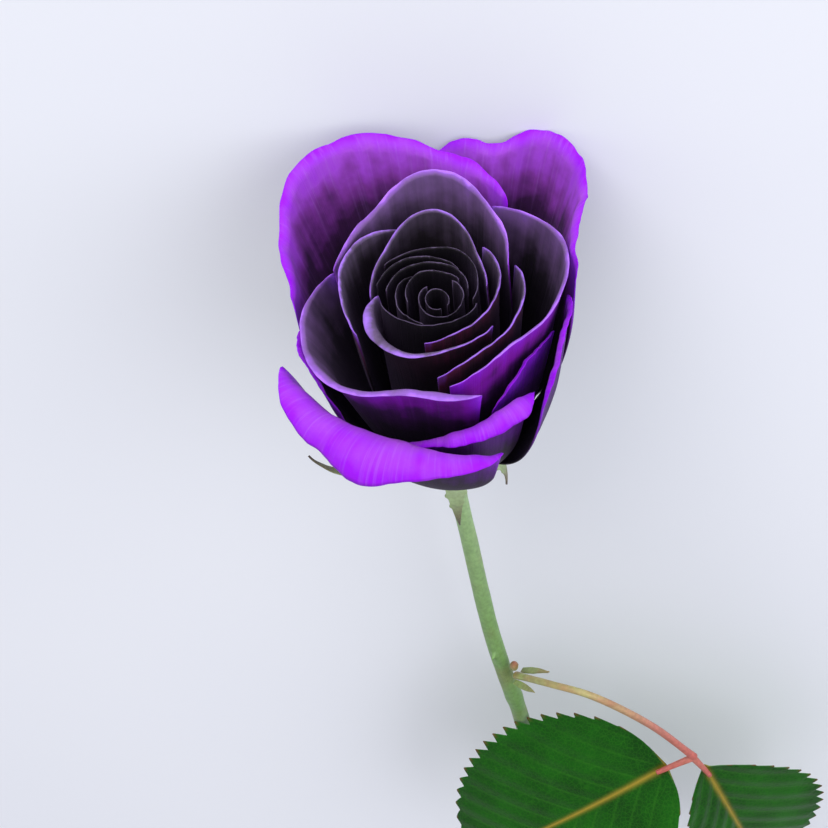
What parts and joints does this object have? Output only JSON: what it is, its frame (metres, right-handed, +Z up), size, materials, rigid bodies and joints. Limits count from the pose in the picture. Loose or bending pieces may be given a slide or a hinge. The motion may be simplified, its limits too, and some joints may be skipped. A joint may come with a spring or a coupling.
{
  "type": "cut rose",
  "caption": "Half-open cut rose with overlapping rolled petals, reflexed sepals, a bare stem and one compound leaf, lying on its side.",
  "frame": {"origin": "under the middle of the whole rose, on the surface that it lies on", "axes": "+Z up; the bloom faces -Y and the stem's cut end is towards +Y; the leaf is on the -X side"},
  "size_m": [0.1346, 0.2474, 0.0852],
  "materials": {
    "outer_petal": "velvety matte violet, fading to black at the foot",
    "inner_petal": "velvety matte plum black with a violet edge",
    "heart_petal": "velvety matte black violet",
    "green_flesh": "waxy satin green",
    "leaf_blade": "semi-gloss deep green with pale veins",
    "leaf_stalk": "satin red-brown green",
    "stamen": "matte pale yellow"
  },
  "bodies": {
    "root": {"petal_heart_core": "heart_petal", "petal_heart_coil": "heart_petal", "petal_heart_left_inner": "heart_petal", "petal_heart_left_outer": "heart_petal", "petal_back_coil_inner": "heart_petal", "petal_back_coil_middle": "heart_petal", "petal_back_coil_outer": "heart_petal", "petal_front_coil": "heart_petal", "petal_right_heart": "inner_petal", "petal_left_heart": "inner_petal", "petal_back_inner": "inner_petal", "petal_left_inner": "inner_petal", "petal_right_inner": "inner_petal", "petal_back_high": "outer_petal", "petal_right_cup": "outer_petal", "petal_left_cup": "outer_petal", "petal_right_low_inner": "outer_petal", "petal_front_flap": "outer_petal", "petal_left_low": "outer_petal", "petal_right_low": "outer_petal", "petal_back_left": "outer_petal", "petal_front_tip": "outer_petal", "petal_back_right": "outer_petal", "stamen_1": "stamen", "stamen_2": "stamen", "stamen_3": "stamen", "stamen_4": "stamen", "stamen_5": "stamen", "styles": "stamen", "receptacle": "green_flesh", "sepal_front": "green_flesh", "sepal_right": "green_flesh", "sepal_back_right": "green_flesh", "sepal_back_left": "green_flesh", "sepal_left": "green_flesh", "stem": "green_flesh", "leaf_stalk": "leaf_stalk", "leaflet_left": "leaf_blade", "leaflet_end": "leaf_blade", "axillary_bud": "green_flesh", "stipule_upper": "green_flesh", "stipule_lower": "green_flesh"}
  },
  "joints": []
}
